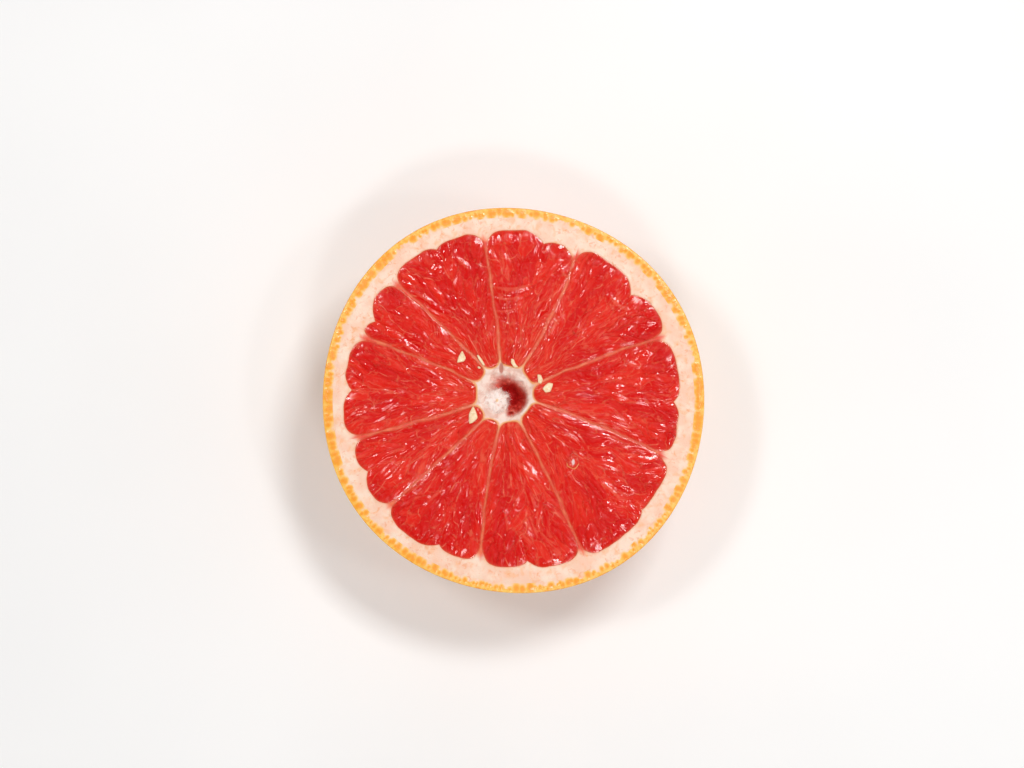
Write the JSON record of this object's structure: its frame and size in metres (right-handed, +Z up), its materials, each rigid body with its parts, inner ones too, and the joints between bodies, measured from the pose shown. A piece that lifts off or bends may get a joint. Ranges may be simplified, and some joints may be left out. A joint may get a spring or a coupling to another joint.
{
  "type": "grapefruit half",
  "caption": "Half of a red grapefruit cut across its equator, lying on its rind with the pulp, membranes, pith and core of the cut face up.",
  "frame": {"origin": "on the surface that the half rests on, under the middle of the fruit's outline", "axes": "+Z up, out of the cut face; +X and +Y as the picture's right and up"},
  "size_m": [0.109, 0.11, 0.052],
  "materials": {
    "rind": "satin",
    "pith": "matte",
    "pulp": "wet",
    "membrane": "satin",
    "core": "matte",
    "oil_gland": "gloss",
    "seed": "satin"
  },
  "bodies": {
    "root": {"grapefruit_half": "rind"}
  },
  "joints": []
}
